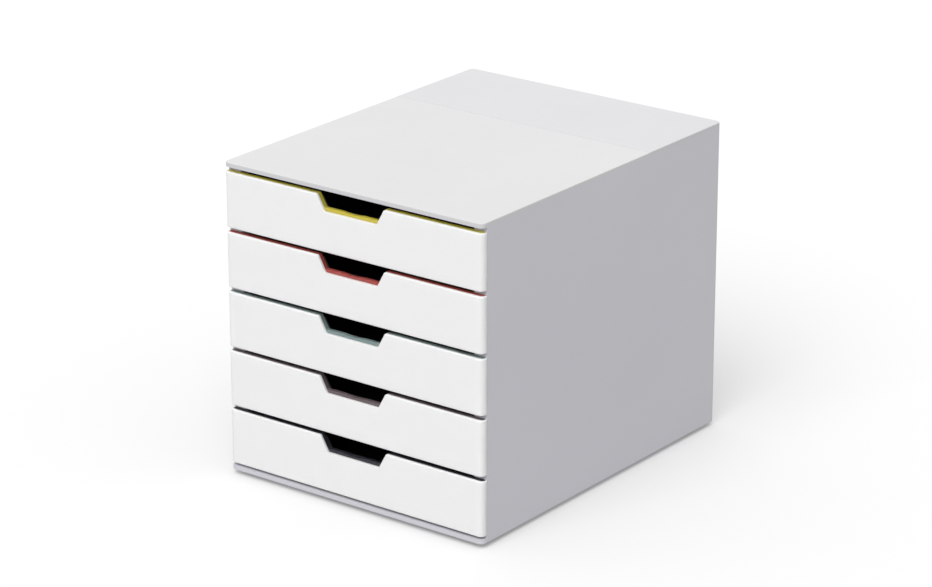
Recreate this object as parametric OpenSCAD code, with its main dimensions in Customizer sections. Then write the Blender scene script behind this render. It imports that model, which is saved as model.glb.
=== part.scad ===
// Desktop drawer tower: an open-fronted housing with five trays that slide out to the front.
// Millimetres. The origin is at the middle of the standing surface, the front faces -Y and Z is up.
// Drawers are numbered from the top.

/* [Housing] */
// Overall width
tower_w = 280; // [220:1:360]
// Overall depth
tower_d = 356; // [300:1:420]
// Thickness of the side walls
wall_t = 2.5; // [1.5:0.1:3.5]
// Thickness of the top
top_t = 4.5; // [2:0.1:8]
// Thickness of the floor
floor_t = 3; // [2:0.1:4]
// Height of the front rail under the lowest drawer, from the underside of the housing
rail_h = 4.5; // [4.2:0.1:20]
// Depth of the front rail, front to back
rail_d = 7; // [4:0.1:20]
// Radius of the upright corners
corner_r = 5; // [4:0.1:6]
// Radius of the lower edges
base_edge_r = 0.8; // [0.4:0.1:3]
// Radius of the upper edges
top_edge_r = 0.8; // [0.4:0.1:1.8]
// Depth of the front field of the top, from the front edge to the step
field_d = 242.6; // [60:0.1:280]
// Height of the step behind that field
field_step = 0.25; // [0.1:0.05:1]

/* [Back] */
// Width of the flange round the rear opening
flange_w = 6; // [3:0.1:20]
// Thickness of that flange
flange_t = 2.5; // [1.5:0.1:4]
// Thickness of the back panel
panel_t = 2.5; // [1.5:0.1:4]
// Play between the edge of the back panel and the housing
panel_clear = 0.2; // [0.1:0.05:0.5]
// Height of the stiffening ribs on the inside of the back panel
panel_rib_h = 2; // [1:0.1:3]
// Thickness of those ribs
panel_rib_t = 1.6; // [1:0.1:3]

/* [Drawer fronts] */
// Height of one front
front_h = 51; // [44:0.1:70]
// Gap between two fronts
front_gap = 4.3; // [3:0.1:8]
// Gap between the front rail and the lowest front
base_gap = 2.4; // [1:0.1:6]
// Gap between the highest front and the top
top_gap = 4.5; // [3:0.1:8]
// Thickness of the front plate
front_t = 2.5; // [1.5:0.1:3]
// Depth to which the ends of the front wrap round the corner
return_d = 6.5; // [5.5:0.1:9]
// Thickness of those ends
return_t = 1.3; // [1:0.1:2.4]
// Gap between the end of a front and the side wall behind it
return_gap = 0.2; // [0.1:0.05:0.5]
// Radius of the upper and lower edges of the front
front_edge_r = 0.8; // [0.3:0.1:1.2]

/* [Finger notch] */
// Width of the notch at its bottom
notch_w = 57; // [40:0.5:90]
// Depth of the notch, from the top edge of the front
notch_depth = 14.5; // [10:0.1:20]
// How far each flank leans out over the depth of the notch
notch_lean = 8; // [2:0.1:14]
// Radius of the two bottom corners
notch_corner_r = 2.5; // [1:0.1:4]
// Radius of the two upper corners
notch_lip_r = 1.6; // [0.5:0.1:3]

/* [Accent frame] */
// Thickness of the coloured frame behind the front
accent_t = 4; // [2:0.1:4]
// How far the frame stands above the front
accent_rise = 0.3; // [0.2:0.1:2]
// How far the bottom of the frame stays above the bottom of the front
accent_setback = 1; // [0.5:0.1:3]
// How far the bottom of its notch stands above that of the front
accent_notch_rise = 2.7; // [1.5:0.1:4]
// How far the flanks of its notch stand inside those of the front
accent_notch_inset = 0; // [0:0.1:1.5]
// How far the bottom of its notch sags in the middle
accent_notch_sag = 0.8; // [0.5:0.1:1.5]
// Width of the stretch that sags
accent_sag_w = 22; // [10:1:30]
// Play between the frame and the ends of the front
accent_clear = 0.2; // [0.1:0.05:0.4]

/* [Trays] */
// Height of a tray
tray_h = 46; // [36:0.5:60]
// Thickness of the tray walls
tray_wall = 2.2; // [1.5:0.1:3]
// Thickness of the tray floor
tray_floor = 2; // [1.2:0.1:3]
// Height of the tray underside above the bottom of the front
tray_lift = 2; // [1:0.1:3]
// Radius of the upright corners of a tray
tray_corner_r = 5; // [4:0.1:10]
// Radius of the lower edges of a tray
tray_edge_r = 3; // [2:0.1:4]
// Radius on the rim of a tray
tray_rim_r = 0.7; // [0.3:0.1:1]
// Space behind a closed tray
tray_rear_clear = 4; // [3:0.5:20]
// Play round the notch that the tray leaves free behind the coloured frame
tray_notch_clear = 0.5; // [0.3:0.1:3]

/* [Runners] */
// Width of the hollow cheek between a side wall and the trays
cheek_w = 11; // [9:0.1:20]
// Thickness of the runner frame
frame_t = 2; // [1.5:0.1:3]
// Width of the ledge that a runner forms under the tray
ledge_w = 6; // [4:0.1:10]
// Thickness of a runner
ledge_t = 2.5; // [1.5:0.1:3]
// Depth of the groove that holds a runner in its frame
groove_d = 1; // [0.5:0.1:1.2]
// Play above a runner in its groove
groove_clear = 0.1; // [0.05:0.05:0.3]
// Running clearance between a tray and its runners
run_clear = 0.3; // [0.2:0.05:0.4]
// Running clearance between a tray and each runner frame
side_clear = 0.5; // [0.3:0.05:0.8]
// Thickness of the webs that brace a runner frame against the side wall
web_t = 2; // [1.5:0.1:3]
// Number of webs behind the front one
web_count = 4; // [2:1:6]
// Height of the rib pairs that hold the edges of a runner frame
rib_h = 2.5; // [1.5:0.1:2.8]
// Thickness of one of those ribs
rib_t = 1.5; // [1:0.1:2]
// Play between a rib and the runner frame
rib_clear = 0.1; // [0.05:0.05:0.3]
// Distance from the front and the back at which the ribs end
rib_end = 20; // [10:1:60]

/* [Pull-out stops] */
// Travel of a drawer from closed to its stop
pull_out = 250; // [150:1:260]
// Height of the stop tabs above the rim of a tray
tab_h = 4; // [3:0.1:8]
// Length of a stop tab
tab_l = 8; // [4:0.5:20]
// Thickness of the stop block on the runner frame, front to back
stop_t = 4; // [2:0.1:8]
// How far a stop block reaches over the tray wall
stop_w = 3.6; // [3.2:0.1:6]
// Height of the stop block above the rim of a tray
stop_clear = 0.6; // [0.4:0.1:1.5]
// Least space between a stop block and what is above it
tab_clear = 0.2; // [0.1:0.1:3]

/* [Pegs] */
// Radius of the pegs that hold front, frame and tray together
peg_r = 2.5; // [1.5:0.1:3.5]
// Play of a peg in its hole
peg_clear = 0.05; // [0.02:0.01:0.1]
// Distance of the outer pegs from the side of the tray
peg_edge = 16; // [12:0.5:25]
// Distance of the inner pegs from the top of the notch flank
peg_notch_edge = 13; // [8:0.5:20]
// Height of the lower pegs above the bottom of the front
peg_low = 13; // [10:0.5:16]
// Height of the upper pegs above the lower ones
peg_rise = 24; // [15:0.5:26]

/* [Feet] */
// Radius of a foot
foot_r = 8; // [5:0.5:15]
// How far the feet stand out of the underside
foot_stand = 3.9; // [0.5:0.1:6]
// Depth of the pocket that holds a foot
foot_pocket = 1.2; // [0.5:0.1:1.5]
// Play between a foot and the wall of its pocket
foot_clear = 0.15; // [0.05:0.05:0.3]
// Distance of the foot centres from the sides, the front and the back
foot_inset = 26; // [22:0.5:60]

/* [Hidden] */

$fn = 64;
drawer_count = 5;
skin = 1; // how far a cutting shape runs past the surface that it cuts
overlap = 1; // how far two shapes that become one solid run into each other

housing_colour = "#cfd0d4";
front_colour = "#f1f1f2";
tray_colour = "#2f3135";
foot_colour = "#5c5d60";
accent_colours = ["#d3c02f", "#b8433f", "#7fa79c", "#7c6164", "#41434b"];

// Heights. The fronts set the spacing of the drawers, unless the trays with their stops need more
tray_room = tray_lift + tray_h + stop_clear + tab_h + tab_clear;
pitch = max(front_h + front_gap, tray_room + ledge_t + run_clear - tray_lift);
top_room = max(front_h + top_gap, tray_room + rib_h);
floor_z = foot_stand + floor_t;
rail_z = foot_stand + rail_h;
// The lowest front stands on its gap, unless the runner under its tray needs more room above the floor ribs
base_z = max(rail_z + base_gap, floor_z + rib_h + rib_clear + ledge_t + run_clear - tray_lift);
function front_z(n) = base_z + (drawer_count - n) * pitch;
function runner_z(n) = front_z(n) + tray_lift - run_clear - ledge_t;
ceiling_z = front_z(1) + top_room;
tower_h = ceiling_z + top_t;

// Places along the depth
front_y = -tower_d / 2;
accent_y = front_y + front_t;
tray_y = accent_y + accent_t;
wall_front_y = front_y + return_d + return_gap;
frame_front_y = max(wall_front_y, tray_y) + run_clear;
flange_y = tower_d / 2 - flange_t;
panel_y = flange_y - panel_t;
frame_rear_y = panel_y;
runner_l = frame_rear_y - panel_rib_h - run_clear - frame_front_y;
tray_rear_y = panel_y - panel_rib_h - tray_rear_clear;
tray_d = tray_rear_y - tray_y;

// Places along the width
wall_x = tower_w / 2 - wall_t;
frame_x = wall_x - cheek_w;
tray_w = 2 * (frame_x - side_clear);

// Finger notch
notch_slope = notch_lean / notch_depth;
notch_floor = front_h - notch_depth;
function notch_half(rise) = notch_w / 2 + rise * notch_slope;

// Pull-out stops
tab_y = tray_rear_y - tray_corner_r - tab_l;
stop_rear_y = tab_y - pull_out - run_clear;

// ---- shapes used by several pieces ----

// Waste that rounds a lower right corner at the origin's column: x from 0 to r, y from 0 to r
module corner_waste(r) {
    if (r > 0) difference() {
        translate([0, -skin]) square([r + skin, r + skin]);
        translate([0, r]) circle(r);
    }
}

// Upright strip from x = -back to x = reach with a rounded lower and upper outer edge
module edge_strip(back, reach, height, low_r, high_r) {
    difference() {
        translate([-back, 0]) square([back + reach, height]);
        translate([reach - low_r, 0]) corner_waste(low_r);
        translate([reach - high_r, height]) mirror([0, 1]) corner_waste(high_r);
    }
}

// Block with round upright corners and rounded lower and upper edges, front face on y = 0, base on z = 0
module rounded_block(w, d, h, r, low_r, high_r) {
    translate([-w / 2 + r, r, 0]) cube([w - 2 * r, d - 2 * r, h]);
    for (x = [-w / 2 + r, w / 2 - r], y = [r, d - r])
        translate([x, y, 0]) rotate_extrude() edge_strip(0, r, h, low_r, high_r);
    for (side = [0, 1]) mirror([side, 0, 0])
        translate([w / 2 - r, d - r, 0]) rotate([90, 0, 0])
            linear_extrude(d - 2 * r) edge_strip(overlap, r, h, low_r, high_r);
    for (side = [0, 1]) translate([0, side * d, 0]) mirror([0, side, 0])
        translate([-w / 2 + r, r, 0]) rotate([90, 0, -90]) mirror([0, 0, 1])
            linear_extrude(w - 2 * r) edge_strip(overlap, r, h, low_r, high_r);
}

// Outline of the finger notch. The middle of its bottom edge is the origin, and it runs up to the height
// "depth", where the upper corners are, and on past it.
module notch_outline(half, depth, sag) {
    lean = atan2(depth, depth * notch_slope);
    corner_run = notch_corner_r * tan(lean / 2);
    lip_run = notch_lip_r * tan(lean / 2);
    top_half = half + depth * notch_slope;
    for (side = [0, 1]) mirror([side, 0]) {
        polygon([
            [0, 0],
            [half - corner_run, 0],
            [half - corner_run, notch_corner_r],
            [half + corner_run * cos(lean), corner_run * sin(lean)],
            [top_half, depth],
            [top_half, depth + front_gap],
            [0, depth + front_gap]
        ]);
        translate([half - corner_run, notch_corner_r]) circle(notch_corner_r);
        difference() {
            polygon([
                [top_half - lip_run * cos(lean), depth - lip_run * sin(lean)],
                [top_half + lip_run, depth - notch_lip_r],
                [top_half + lip_run, depth + front_gap],
                [top_half - lip_run * cos(lean), depth + front_gap]
            ]);
            translate([top_half + lip_run, depth - notch_lip_r]) circle(notch_lip_r);
        }
    }
    if (sag > 0) sagging_edge(accent_sag_w / 2, sag);
}

// Shallow arc below a straight edge that is 2 * half long and centred on the origin
module sagging_edge(half, sag) {
    arc_r = (half * half + sag * sag) / (2 * sag);
    intersection() {
        translate([0, arc_r - sag]) circle(arc_r, $fn = 720);
        translate([-half, -sag - skin]) square([2 * half, sag + skin + notch_corner_r / 2]);
    }
}

// Cutting shape of the notch through a plate from y = 0 to y = thickness
module notch_cut(half, depth, sag, thickness) {
    translate([0, thickness + skin, 0]) rotate([90, 0, 0])
        linear_extrude(thickness + 2 * skin) notch_outline(half, depth, sag);
}

// Places of the eight pegs, seen from the bottom of a front
module at_pegs() {
    outer_x = tray_w / 2 - peg_edge;
    inner_x = notch_half(notch_depth) + peg_notch_edge;
    for (x = [-outer_x, -inner_x, inner_x, outer_x], z = [peg_low, peg_low + peg_rise])
        translate([x, 0, z]) rotate([-90, 0, 0]) children();
}

// ---- housing ----

module shell_outside(h) {
    translate([0, front_y, foot_stand])
        rounded_block(tower_w, tower_d, h - foot_stand, corner_r, base_edge_r, top_edge_r);
}

module shell_inside() {
    rail_y = front_y + rail_d;
    // room behind the front rail, down to the floor
    translate([-wall_x, rail_y, floor_z]) cube([2 * wall_x, flange_y - rail_y, ceiling_z - floor_z]);
    // room for the drawers, open to the front
    translate([-wall_x, front_y - skin, rail_z])
        cube([2 * wall_x, flange_y - front_y + skin, ceiling_z - rail_z]);
    // the side walls start behind the ends of the fronts
    translate([-tower_w / 2 - skin, front_y - skin, rail_z])
        cube([tower_w + 2 * skin, wall_front_y - front_y + skin, ceiling_z - rail_z]);
    // rear opening inside the flange
    translate([-wall_x + flange_w, flange_y - skin, floor_z + flange_w])
        cube([2 * (wall_x - flange_w), flange_t + 2 * skin, ceiling_z - floor_z - 2 * flange_w]);
}

// Rib pairs on the floor and under the top, one rib on each side of a runner frame
module shell_ribs() {
    rib_y = front_y + rib_end;
    rib_l = tower_d - 2 * rib_end;
    for (side = [0, 1], z = [floor_z, ceiling_z - rib_h]) mirror([side, 0, 0]) {
        translate([frame_x - rib_clear - rib_t, rib_y, z]) cube([rib_t, rib_l, rib_h]);
        translate([frame_x + frame_t + rib_clear, rib_y, z]) cube([rib_t, rib_l, rib_h]);
    }
}

module at_foot(side_x, side_y) {
    translate([side_x * (tower_w / 2 - foot_inset), side_y * (tower_d / 2 - foot_inset), 0]) children();
}

module housing_shell() {
    color(housing_colour) {
        difference() {
            union() {
                shell_outside(tower_h - field_step);
                intersection() {
                    shell_outside(tower_h);
                    translate([-tower_w, front_y + field_d, 0]) cube([2 * tower_w, tower_d, 2 * tower_h]);
                }
            }
            shell_inside();
            for (side_x = [-1, 1], side_y = [-1, 1]) at_foot(side_x, side_y)
                translate([0, 0, foot_stand - skin]) cylinder(r = foot_r + foot_clear, h = foot_pocket + skin);
        }
        shell_ribs();
    }
}

module back_panel() {
    panel_w = 2 * (wall_x - panel_clear);
    panel_h = ceiling_z - floor_z - 2 * panel_clear;
    rib_w = 2 * (frame_x - side_clear);
    color(housing_colour) translate([0, panel_y, floor_z + panel_clear]) {
        translate([-panel_w / 2, 0, 0]) cube([panel_w, panel_t, panel_h]);
        for (n = [1 : drawer_count - 1])
            translate([-rib_w / 2, -panel_rib_h, front_z(n) - floor_z - panel_clear])
                cube([rib_w, panel_rib_h + overlap, panel_rib_t]);
    }
}

// Runner frame of the right-hand side; the left one is its mirror image
module runner_frame() {
    frame_l = frame_rear_y - frame_front_y;
    web_space = (frame_l - web_t) / web_count;
    web_gap = rib_h + rib_clear;
    color(housing_colour) {
        difference() {
            translate([frame_x, frame_front_y, floor_z]) cube([frame_t, frame_l, ceiling_z - floor_z]);
            for (n = [1 : drawer_count])
                translate([frame_x - skin, frame_front_y - skin, runner_z(n)])
                    cube([groove_d + skin, runner_l + skin, ledge_t + groove_clear]);
        }
        translate([frame_x + frame_t - overlap, frame_front_y, rail_z])
            cube([cheek_w - frame_t + overlap, web_t, ceiling_z - rail_z]);
        for (n = [1 : web_count])
            translate([frame_x + frame_t - overlap, frame_front_y + n * web_space, floor_z + web_gap])
                cube([cheek_w - frame_t + overlap, web_t, ceiling_z - floor_z - 2 * web_gap]);
        for (n = [1 : drawer_count])
            translate([frame_x - stop_w, stop_rear_y - stop_t, front_z(n) + tray_lift + tray_h + stop_clear])
                cube([stop_w + overlap, stop_t, tab_h]);
    }
}

// Runner of drawer n on the right-hand side: its outer edge sits in the groove of the runner frame
module runner(n) {
    color(housing_colour) translate([frame_x - ledge_w, frame_front_y, runner_z(n)])
        cube([ledge_w + groove_d, runner_l, ledge_t]);
}

module foot() {
    color(foot_colour) cylinder(r = foot_r, h = foot_stand + foot_pocket);
}

// ---- drawers ----

module drawer_front(n) {
    block_d = 4 * corner_r;
    color(front_colour) translate([0, front_y, front_z(n)]) {
        difference() {
            intersection() {
                rounded_block(tower_w, block_d, front_h, corner_r, front_edge_r, front_edge_r);
                translate([-tower_w / 2, 0, 0]) cube([tower_w, return_d, front_h]);
            }
            translate([0, front_t, -skin])
                rounded_block(tower_w - 2 * return_t, block_d, front_h + 2 * skin, corner_r - front_t, 0, 0);
            translate([0, 0, notch_floor]) notch_cut(notch_half(0), notch_depth, 0, front_t);
        }
        translate([0, front_t / 2, 0]) at_pegs() cylinder(r = peg_r, h = front_t / 2 + accent_t + tray_wall);
    }
}

module drawer_accent(n) {
    accent_h = front_h - accent_setback + accent_rise;
    accent_w = tower_w - 2 * (return_t + accent_clear);
    accent_r = corner_r - front_t - accent_clear;
    notch_z = notch_floor + accent_notch_rise;
    color(accent_colours[n - 1]) translate([0, accent_y, front_z(n)]) difference() {
        intersection() {
            translate([0, 0, accent_setback])
                rounded_block(accent_w, 4 * accent_t, accent_h, accent_r, 0, front_edge_r / 2);
            translate([-tower_w / 2, 0, 0]) cube([tower_w, accent_t, 2 * front_h]);
        }
        translate([0, 0, notch_z])
            notch_cut(notch_half(accent_notch_rise) - accent_notch_inset,
                      front_h + accent_rise - notch_z, accent_notch_sag, accent_t);
        translate([0, -skin, 0]) at_pegs() cylinder(r = peg_r + peg_clear, h = accent_t + 2 * skin);
    }
}

module drawer_tray(n) {
    inner_r = tray_corner_r - tray_wall;
    inner_edge_r = max(tray_edge_r - tray_wall, 0.5);
    notch_z = accent_notch_rise - accent_notch_sag - tray_notch_clear;
    color(tray_colour) translate([0, tray_y, front_z(n) + tray_lift]) {
        difference() {
            rounded_block(tray_w, tray_d, tray_h, tray_corner_r, tray_edge_r, tray_rim_r);
            translate([0, tray_wall, tray_floor])
                rounded_block(tray_w - 2 * tray_wall, tray_d - 2 * tray_wall, tray_h, inner_r, inner_edge_r, 0);
            translate([0, 0, notch_floor + notch_z - tray_lift])
                notch_cut(notch_half(notch_z) + tray_notch_clear, notch_depth, 0, tray_wall);
            translate([0, -skin, -tray_lift]) at_pegs()
                cylinder(r = peg_r + peg_clear, h = tray_wall + 2 * skin);
        }
        for (side = [0, 1]) mirror([side, 0, 0])
            translate([tray_w / 2 - tray_wall, tab_y - tray_y, tray_h - 2 * tray_rim_r])
                cube([tray_wall, tab_l, tab_h + 2 * tray_rim_r]);
    }
}

housing_shell();
back_panel();
mirror([1, 0, 0]) runner_frame();  // left_runner_frame
runner_frame();  // right_runner_frame
mirror([1, 0, 0]) runner(1);  // left_runner_1
mirror([1, 0, 0]) runner(2);  // left_runner_2
mirror([1, 0, 0]) runner(3);  // left_runner_3
mirror([1, 0, 0]) runner(4);  // left_runner_4
mirror([1, 0, 0]) runner(5);  // left_runner_5
runner(1);  // right_runner_1
runner(2);  // right_runner_2
runner(3);  // right_runner_3
runner(4);  // right_runner_4
runner(5);  // right_runner_5
at_foot(-1, -1) foot();  // foot_front_left
at_foot(1, -1) foot();  // foot_front_right
at_foot(-1, 1) foot();  // foot_rear_left
at_foot(1, 1) foot();  // foot_rear_right
drawer_front(1);  // drawer_1_front
drawer_accent(1);  // drawer_1_accent
drawer_tray(1);  // drawer_1_tray
drawer_front(2);  // drawer_2_front
drawer_accent(2);  // drawer_2_accent
drawer_tray(2);  // drawer_2_tray
drawer_front(3);  // drawer_3_front
drawer_accent(3);  // drawer_3_accent
drawer_tray(3);  // drawer_3_tray
drawer_front(4);  // drawer_4_front
drawer_accent(4);  // drawer_4_accent
drawer_tray(4);  // drawer_4_tray
drawer_front(5);  // drawer_5_front
drawer_accent(5);  // drawer_5_accent
drawer_tray(5);  // drawer_5_tray
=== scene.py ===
import math

import bpy
from mathutils import Matrix, Vector


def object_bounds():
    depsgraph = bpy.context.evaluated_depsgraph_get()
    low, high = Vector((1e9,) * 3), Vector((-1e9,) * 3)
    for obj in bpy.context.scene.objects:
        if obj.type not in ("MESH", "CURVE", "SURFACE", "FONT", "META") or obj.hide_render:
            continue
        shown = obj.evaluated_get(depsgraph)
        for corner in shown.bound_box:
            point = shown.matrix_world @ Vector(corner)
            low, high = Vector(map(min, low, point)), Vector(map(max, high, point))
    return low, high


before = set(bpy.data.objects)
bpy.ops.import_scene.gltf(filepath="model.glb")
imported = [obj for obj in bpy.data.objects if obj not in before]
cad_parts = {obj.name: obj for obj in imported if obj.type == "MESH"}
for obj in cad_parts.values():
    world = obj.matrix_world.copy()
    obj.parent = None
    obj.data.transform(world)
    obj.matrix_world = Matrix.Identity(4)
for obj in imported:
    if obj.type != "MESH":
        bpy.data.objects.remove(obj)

# The plastic drawer tower: materials, camera, floor and light around the CAD frame. Lengths are in metres.

cad_box = [list(corner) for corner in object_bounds()]

# ---- camera: the photograph's viewing angle ----

PHOTO_WIDTH = 932
FOCAL_PX = 3578.0
SENSOR_MM = 36.0
CAMERA_PLACE = Vector((1.8077, -2.3979, 1.2427))
CAMERA_AZIMUTH = math.radians(37.196)
CAMERA_ELEVATION = math.radians(20.010)
CAMERA_ROLL = math.radians(-0.034)
CAMERA_REACH = 100.0


def make_camera():
    """A long lens from the front right, looking slightly down."""
    flat = math.cos(CAMERA_ELEVATION)
    back = Vector((
        math.sin(CAMERA_AZIMUTH) * flat,
        -math.cos(CAMERA_AZIMUTH) * flat,
        math.sin(CAMERA_ELEVATION),
    ))
    right = Vector((0, 0, 1)).cross(back).normalized()
    up = back.cross(right)
    rolled_right = math.cos(CAMERA_ROLL) * right + math.sin(CAMERA_ROLL) * up
    rolled_up = math.cos(CAMERA_ROLL) * up - math.sin(CAMERA_ROLL) * right
    turn = Matrix((rolled_right, rolled_up, back)).transposed().to_4x4()
    camera = bpy.data.objects.new("camera", bpy.data.cameras.new("camera"))
    bpy.context.scene.collection.objects.link(camera)
    camera.matrix_world = Matrix.Translation(CAMERA_PLACE) @ turn
    camera.data.sensor_width = SENSOR_MM
    camera.data.lens = FOCAL_PX / PHOTO_WIDTH * SENSOR_MM
    camera.data.clip_end = CAMERA_REACH
    bpy.context.scene.camera = camera


# ---- node helpers ----

WHITE = (1.0, 1.0, 1.0)
NOISE_LOW, NOISE_HIGH = 0.3, 0.7


class Nodes:
    """A material's or world's node tree, with short calls to add and join nodes."""

    def __init__(self, tree):
        self.tree = tree
        tree.nodes.clear()

    def add(self, kind, **values):
        node = self.tree.nodes.new(kind)
        for name, value in values.items():
            setattr(node, name, value)
        return node

    def join(self, source, target):
        self.tree.links.new(source, target)

    def feed(self, colour, target):
        """Set a colour on a socket, or join it if it comes from another node."""
        if isinstance(colour, tuple):
            target.default_value = colour
        else:
            self.join(colour, target)

    def output(self, kind, surface):
        self.join(surface, self.add(kind).inputs["Surface"])

    def noise(self, place, scale, detail, roughness=0.5):
        node = self.add("ShaderNodeTexNoise")
        node.inputs["Scale"].default_value = scale
        node.inputs["Detail"].default_value = detail
        node.inputs["Roughness"].default_value = roughness
        self.join(place, node.inputs["Vector"])
        return node.outputs["Fac"]

    def spread(self, value, low, high, low_in=NOISE_LOW, high_in=NOISE_HIGH):
        """Value mapped from its own range, by default a noise's usual one, to the range low to high."""
        node = self.add("ShaderNodeMapRange")
        node.inputs["From Min"].default_value = low_in
        node.inputs["From Max"].default_value = high_in
        node.inputs["To Min"].default_value = low
        node.inputs["To Max"].default_value = high
        self.join(value, node.inputs["Value"])
        return node.outputs["Result"]

    def choose(self, switch, off, on):
        """Off where the switch is 0, on where it is 1."""
        return self.spread(switch, off, on, low_in=0.0, high_in=1.0)

    def shade(self, colour, factor):
        """Colour multiplied by a factor that varies over the surface."""
        node = self.add("ShaderNodeVectorMath", operation="SCALE")
        self.feed(colour, node.inputs[0])
        self.join(factor, node.inputs["Scale"])
        return node.outputs["Vector"]

    def beyond(self, value, limit):
        """1 where the value is over the limit, 0 elsewhere."""
        node = self.add("ShaderNodeMath", operation="GREATER_THAN")
        self.join(value, node.inputs[0])
        node.inputs[1].default_value = limit
        return node.outputs["Value"]

    def blend(self, amount, first, second):
        """First colour where the amount is 0, second where it is 1."""
        node = self.add("ShaderNodeMix", data_type="VECTOR")
        # The node has sockets A, B and Result for each type of data, and the vector ones are used here.
        sockets = {socket.name: socket for socket in node.inputs if socket.type == "VECTOR"}
        self.join(amount, node.inputs["Factor"])
        self.feed(first, sockets["A"])
        self.feed(second, sockets["B"])
        return next(socket for socket in node.outputs if socket.type == "VECTOR")


def new_nodes(name):
    material = bpy.data.materials.new(name)
    material.use_nodes = True
    return material, Nodes(material.node_tree)


# ---- materials ----

PLASTIC_IOR = 1.5
MOTTLE_SCALE, MOTTLE_DETAIL = 9.0, 3.0
GLOSS_SCALE, GLOSS_DETAIL, GLOSS_SWING = 70.0, 4.0, 0.04
GRAIN_DETAIL, GRAIN_ROUGHNESS = 3.0, 0.6
FINE_GRAIN = 1600.0


def moulded_plastic(name, colour, roughness, grain_depth, grain_scale=FINE_GRAIN, mottle=0.012, depth=0.0):
    """Moulded plastic: an even colour with a faint mottle, an eroded grain and uneven gloss.

    colour may be a function that returns a colour for each part of the surface. depth, if not 0, is how far
    light spreads under the surface.
    """
    material, nodes = new_nodes(name)
    place = nodes.add("ShaderNodeTexCoord").outputs["Object"]
    surface = nodes.add("ShaderNodeBsdfPrincipled")
    surface.inputs["IOR"].default_value = PLASTIC_IOR
    if depth:
        surface.inputs["Subsurface Weight"].default_value = 1.0
        surface.inputs["Subsurface Radius"].default_value = WHITE
        surface.inputs["Subsurface Scale"].default_value = depth
    clouds = nodes.noise(place, MOTTLE_SCALE, MOTTLE_DETAIL)
    tone = colour(nodes, place) if callable(colour) else colour
    shaded = nodes.shade(tone, nodes.spread(clouds, 1.0 - mottle, 1.0 + mottle))
    nodes.join(shaded, surface.inputs["Base Color"])
    gloss = nodes.noise(place, GLOSS_SCALE, GLOSS_DETAIL)
    uneven = nodes.spread(gloss, roughness - GLOSS_SWING, roughness + GLOSS_SWING)
    nodes.join(uneven, surface.inputs["Roughness"])
    bump = nodes.add("ShaderNodeBump")
    bump.inputs["Strength"].default_value = 1.0
    bump.inputs["Distance"].default_value = grain_depth
    nodes.join(nodes.noise(place, grain_scale, GRAIN_DETAIL, GRAIN_ROUGHNESS), bump.inputs["Height"])
    nodes.join(bump.outputs["Normal"], surface.inputs["Normal"])
    nodes.output("ShaderNodeOutputMaterial", surface.outputs["BSDF"])
    return material


HOUSING = (0.613, 0.609, 0.652)
# Painted light: the two top colours are a more neutral, warmer grey than HOUSING, standing in for warmer
# light on the top and cooler light on the sides.
TOP_FRONT_FIELD_PAINTED_LIGHT = (0.620, 0.615, 0.619)
TOP_REAR_FIELD_PAINTED_LIGHT = (0.596, 0.598, 0.608)
FRONT = (0.935, 0.935, 0.942)
# The trays are near black; this dark colour is partly painted shade, so the shaded insides of the closed
# drawers, seen through the notches, come out black.
TRAY_WITH_PAINTED_SHADE = (0.026, 0.027, 0.030)
FOOT = (0.09, 0.09, 0.095)
ACCENTS = {
    1: (0.560, 0.475, 0.060),
    2: (0.370, 0.072, 0.062),
    3: (0.200, 0.270, 0.265),
    4: (0.140, 0.108, 0.112),
    5: (0.028, 0.029, 0.039),
}

HOUSING_FINISH = {"roughness": 0.48, "grain_depth": 0.00003}
INNER_FINISH = {"roughness": 0.55, "grain_depth": 0.00004}
FRONT_FINISH = {"roughness": 0.36, "grain_depth": 0.00001, "mottle": 0.006, "depth": 0.003}
ACCENT_FINISH = {"roughness": 0.42, "grain_depth": 0.00002, "mottle": 0.02, "depth": 0.003}
TRAY_FINISH = {"roughness": 0.50, "grain_depth": 0.00005, "mottle": 0.06, "grain_scale": 1100.0}
FOOT_FINISH = {"roughness": 0.75, "grain_depth": 0.00006, "mottle": 0.05, "grain_scale": 900.0}

# The top, which gets the painted top light, is all that lies less than TOP_SKIN under the highest point. Its
# front field ends at the faint step.
FRONT_FIELD_LENGTH = 0.2426
TOP_SKIN = 0.003


def housing_tones_with_painted_top_light(nodes, place):
    """Painted light: the top is tinted a more neutral, warmer grey than the cooler sides, standing in for
    warmer light from above. Its rear field is a little darker.
    """
    lowest, highest = cad_box
    split = nodes.add("ShaderNodeSeparateXYZ")
    nodes.join(place, split.inputs["Vector"])
    behind = nodes.beyond(split.outputs["Y"], lowest[1] + FRONT_FIELD_LENGTH)
    painted_top_light_mask = nodes.beyond(split.outputs["Z"], highest[2] - TOP_SKIN)
    return nodes.blend(painted_top_light_mask, HOUSING, nodes.blend(behind, TOP_FRONT_FIELD_PAINTED_LIGHT, TOP_REAR_FIELD_PAINTED_LIGHT))


def dress(node, material):
    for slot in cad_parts[node].material_slots:
        slot.material = material


def dress_housing():
    shell = moulded_plastic("housing_plastic", housing_tones_with_painted_top_light, **HOUSING_FINISH)
    inner = moulded_plastic("inner_plastic", HOUSING, **INNER_FINISH)
    rubber = moulded_plastic("foot_rubber", FOOT, **FOOT_FINISH)
    dress("housing_shell", shell)
    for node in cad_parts:
        if node == "back_panel" or "_runner_" in node:
            dress(node, inner)
        if node.startswith("foot_"):
            dress(node, rubber)


def dress_drawers():
    front = moulded_plastic("front_plastic", FRONT, **FRONT_FINISH)
    tray = moulded_plastic("tray_plastic", TRAY_WITH_PAINTED_SHADE, **TRAY_FINISH)
    for number, colour in ACCENTS.items():
        dress(f"drawer_{number}_front", front)
        dress(f"drawer_{number}_accent", moulded_plastic(f"accent_plastic_{number}", colour, **ACCENT_FINISH))
        dress(f"drawer_{number}_tray", tray)


# ---- floor, world and light ----

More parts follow.
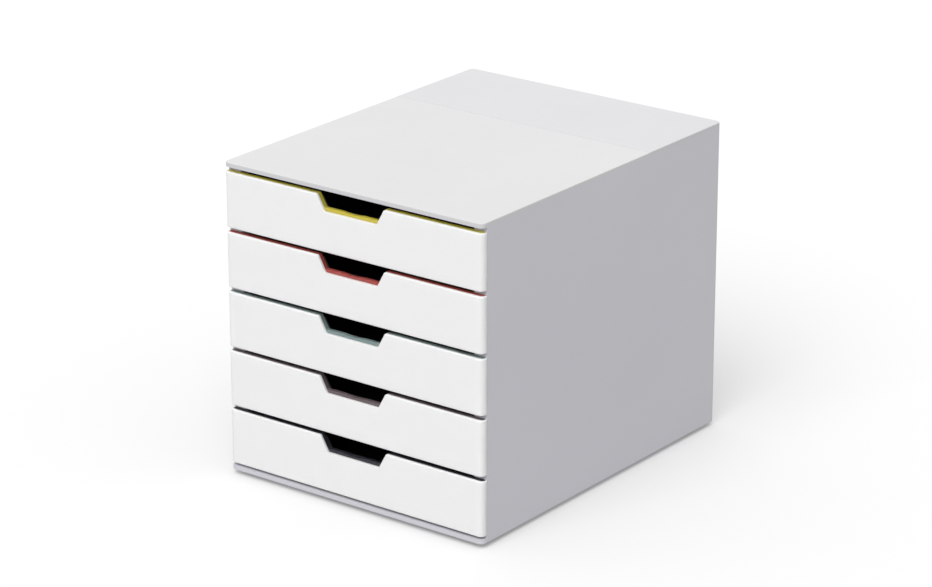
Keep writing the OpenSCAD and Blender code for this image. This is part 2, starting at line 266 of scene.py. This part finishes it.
FLOOR_REACH = 30.0
FLOOR_SEEN_GLOW, FLOOR_SEEN = 0.12, 0.69
FLOOR_BOUNCE_GLOW, FLOOR_BOUNCE = 0.20, 0.165
WORLD_LIGHT = 0.88
# The way to the lamp. Its parts are what the lamp adds to a white face that looks along +X, -Y or +Z.
KEY_DIRECTION = Vector((0.09, -0.355, 0.42))
KEY_SOFTNESS = math.radians(50)


def make_floor():
    """A plain pale floor with a faint glow. It looks white to the camera and throws an even light back."""
    mesh = bpy.data.meshes.new("floor")
    corners = [(-FLOOR_REACH, -FLOOR_REACH, 0), (FLOOR_REACH, -FLOOR_REACH, 0),
               (FLOOR_REACH, FLOOR_REACH, 0), (-FLOOR_REACH, FLOOR_REACH, 0)]
    mesh.from_pydata(corners, [], [(0, 1, 2, 3)])
    floor = bpy.data.objects.new("floor", mesh)
    bpy.context.scene.collection.objects.link(floor)
    material, nodes = new_nodes("floor")
    seen = nodes.add("ShaderNodeLightPath").outputs["Is Camera Ray"]
    surface = nodes.add("ShaderNodeBsdfPrincipled")
    surface.inputs["Roughness"].default_value = 1.0
    surface.inputs["Specular IOR Level"].default_value = 0.0
    surface.inputs["Emission Color"].default_value = (*WHITE, 1.0)
    level = nodes.choose(seen, FLOOR_BOUNCE, FLOOR_SEEN)
    nodes.join(nodes.shade(WHITE, level), surface.inputs["Base Color"])
    glow = nodes.choose(seen, FLOOR_BOUNCE_GLOW, FLOOR_SEEN_GLOW)
    nodes.join(glow, surface.inputs["Emission Strength"])
    nodes.output("ShaderNodeOutputMaterial", surface.outputs["BSDF"])
    mesh.materials.append(material)


def make_world():
    """An even white light from all round."""
    world = bpy.data.worlds.new("studio")
    bpy.context.scene.world = world
    world.use_nodes = True
    nodes = Nodes(world.node_tree)
    light = nodes.add("ShaderNodeBackground")
    light.inputs["Color"].default_value = (*WHITE, 1.0)
    light.inputs["Strength"].default_value = WORLD_LIGHT
    nodes.output("ShaderNodeOutputWorld", light.outputs["Background"])


def make_key():
    """One large soft lamp, high up in front of the tower and a little to its right."""
    lamp = bpy.data.lights.new("key", "SUN")
    lamp.energy = KEY_DIRECTION.length * math.pi
    lamp.angle = KEY_SOFTNESS
    key = bpy.data.objects.new("key", lamp)
    key.rotation_euler = KEY_DIRECTION.to_track_quat("Z", "Y").to_euler()
    bpy.context.scene.collection.objects.link(key)


make_camera()
dress_housing()
dress_drawers()
make_floor()
make_world()
make_key()
bpy.context.scene.view_settings.view_transform = "Standard"
